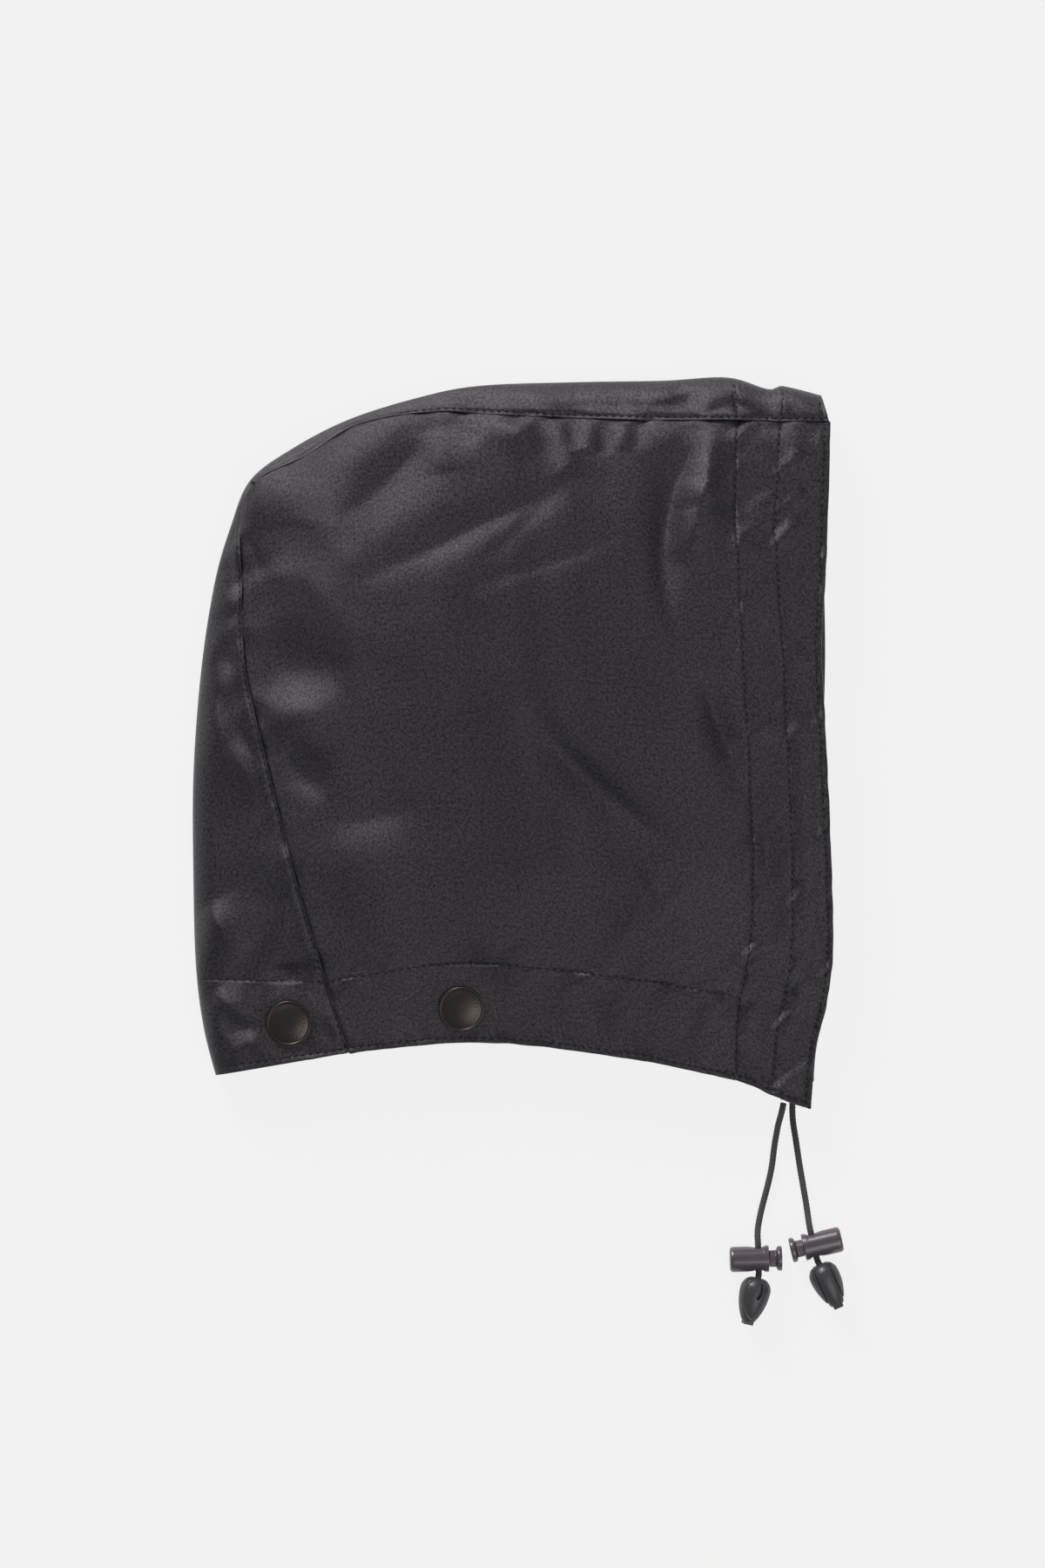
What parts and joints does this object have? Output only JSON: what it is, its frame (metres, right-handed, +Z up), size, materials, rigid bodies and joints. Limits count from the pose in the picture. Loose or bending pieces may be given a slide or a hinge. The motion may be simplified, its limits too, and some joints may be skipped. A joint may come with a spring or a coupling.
{
  "type": "detachable hood",
  "caption": "Detachable waxed-cotton hood lying flat on its side, with a centre panel, press studs along the neck and a drawcord with sprung cord locks.",
  "frame": {"origin": "on the ground, under the middle of the hood as it lies on its left side, cords left out", "axes": "+X towards the face opening, +Y towards the crown, +Z up from the ground, out of the wearer's right side"},
  "size_m": [0.2496, 0.363, 0.0284],
  "materials": {
    "waxed_cloth": "waxed, soft sheen",
    "facing": "matt",
    "stud_metal": "dark satin",
    "drawcord": "braided, matt",
    "lock_plastic": "satin",
    "cord_end_plastic": "semi-gloss"
  },
  "bodies": {
    "hood": {"right_side_panel": "waxed_cloth", "left_side_panel": "waxed_cloth", "centre_panel": "waxed_cloth", "front_facing": "facing", "neck_facing": "facing", "drawcord_run": "drawcord", "right_back_stud_cap": "stud_metal", "right_back_stud_socket": "stud_metal", "right_front_stud_cap": "stud_metal", "right_front_stud_socket": "stud_metal", "left_back_stud_cap": "stud_metal", "left_back_stud_socket": "stud_metal", "left_front_stud_cap": "stud_metal", "left_front_stud_socket": "stud_metal", "right_drawcord": "drawcord", "left_drawcord": "drawcord", "right_lock_barrel": "lock_plastic", "left_lock_barrel": "lock_plastic", "right_end_core": "cord_end_plastic", "right_end_upper_cheek": "cord_end_plastic", "right_end_lower_cheek": "cord_end_plastic", "left_end_core": "cord_end_plastic", "left_end_upper_cheek": "cord_end_plastic", "left_end_lower_cheek": "cord_end_plastic"},
    "right_plunger": {"right_lock_plunger": "lock_plastic"},
    "left_plunger": {"left_lock_plunger": "lock_plastic"}
  },
  "joints": [
    {"name": "right_lock_press", "type": "slide", "parent": "hood", "child": "right_plunger", "axis": [-0.9997, -0.0262, 0], "range_m": [0, 0.0024], "stiffness_N_per_m": 1500, "springref_m": -0.002},
    {"name": "left_lock_press", "type": "slide", "parent": "hood", "child": "left_plunger", "axis": [0.9744, 0.225, 0], "range_m": [0, 0.0024], "stiffness_N_per_m": 1500, "springref_m": -0.002}
  ]
}
